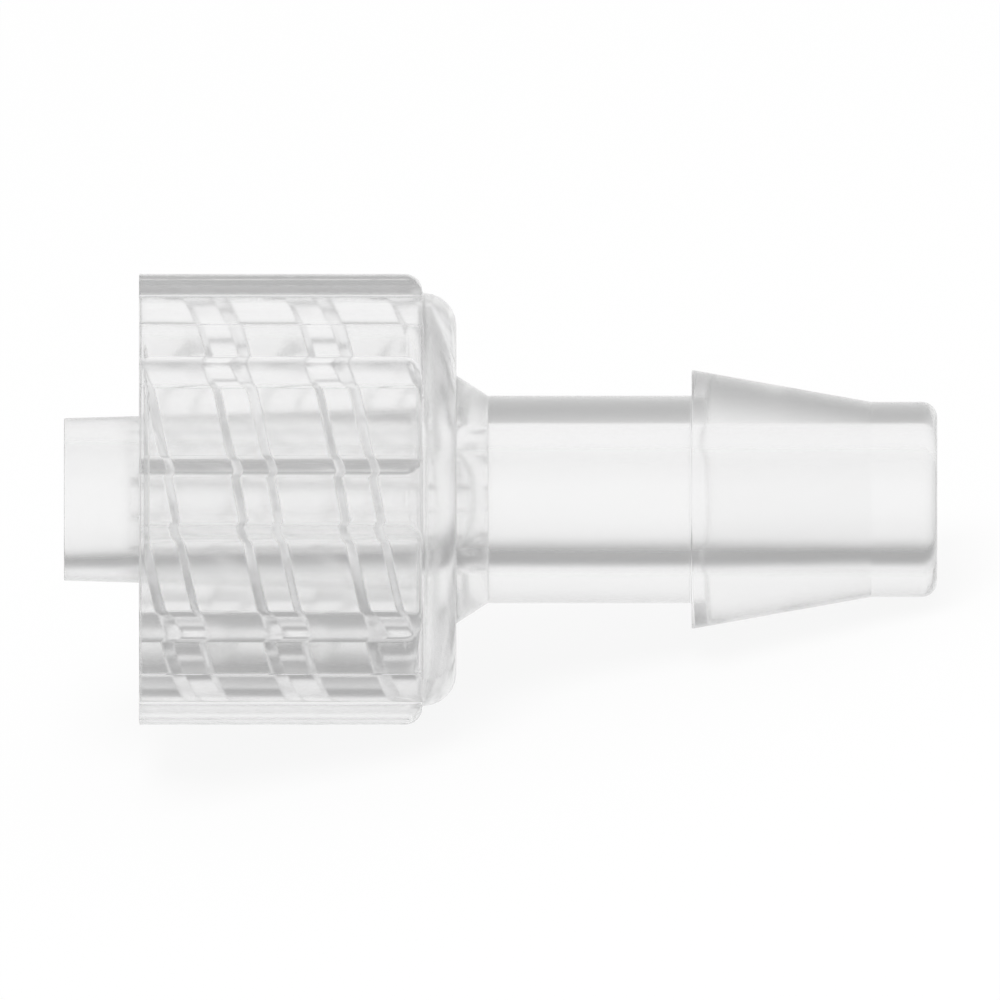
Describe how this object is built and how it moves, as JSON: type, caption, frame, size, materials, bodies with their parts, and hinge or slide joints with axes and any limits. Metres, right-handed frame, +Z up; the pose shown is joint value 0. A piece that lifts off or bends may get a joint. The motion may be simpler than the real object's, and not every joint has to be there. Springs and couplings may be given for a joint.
{
  "type": "luer lock fitting",
  "caption": "Clear plastic male luer lock to hose barb fitting: tapered tip in a ribbed, internally threaded lock collar, plain stem, barb with a plain nose, and a bore right through.",
  "frame": {"origin": "on the table, under the middle of the fitting's box, as it lies at rest on two ribs and the lower edge of its nose", "axes": "+X along the fitting towards the hose nose, seen from above; +Z up; the fitting's own axis runs down towards the nose by about 13 degrees in the XZ plane"},
  "size_m": [0.0216, 0.0106, 0.0118],
  "materials": {
    "clear_plastic": "clear, moulded gloss"
  },
  "bodies": {
    "root": {"luer_lock_fitting": "clear_plastic"}
  },
  "joints": []
}
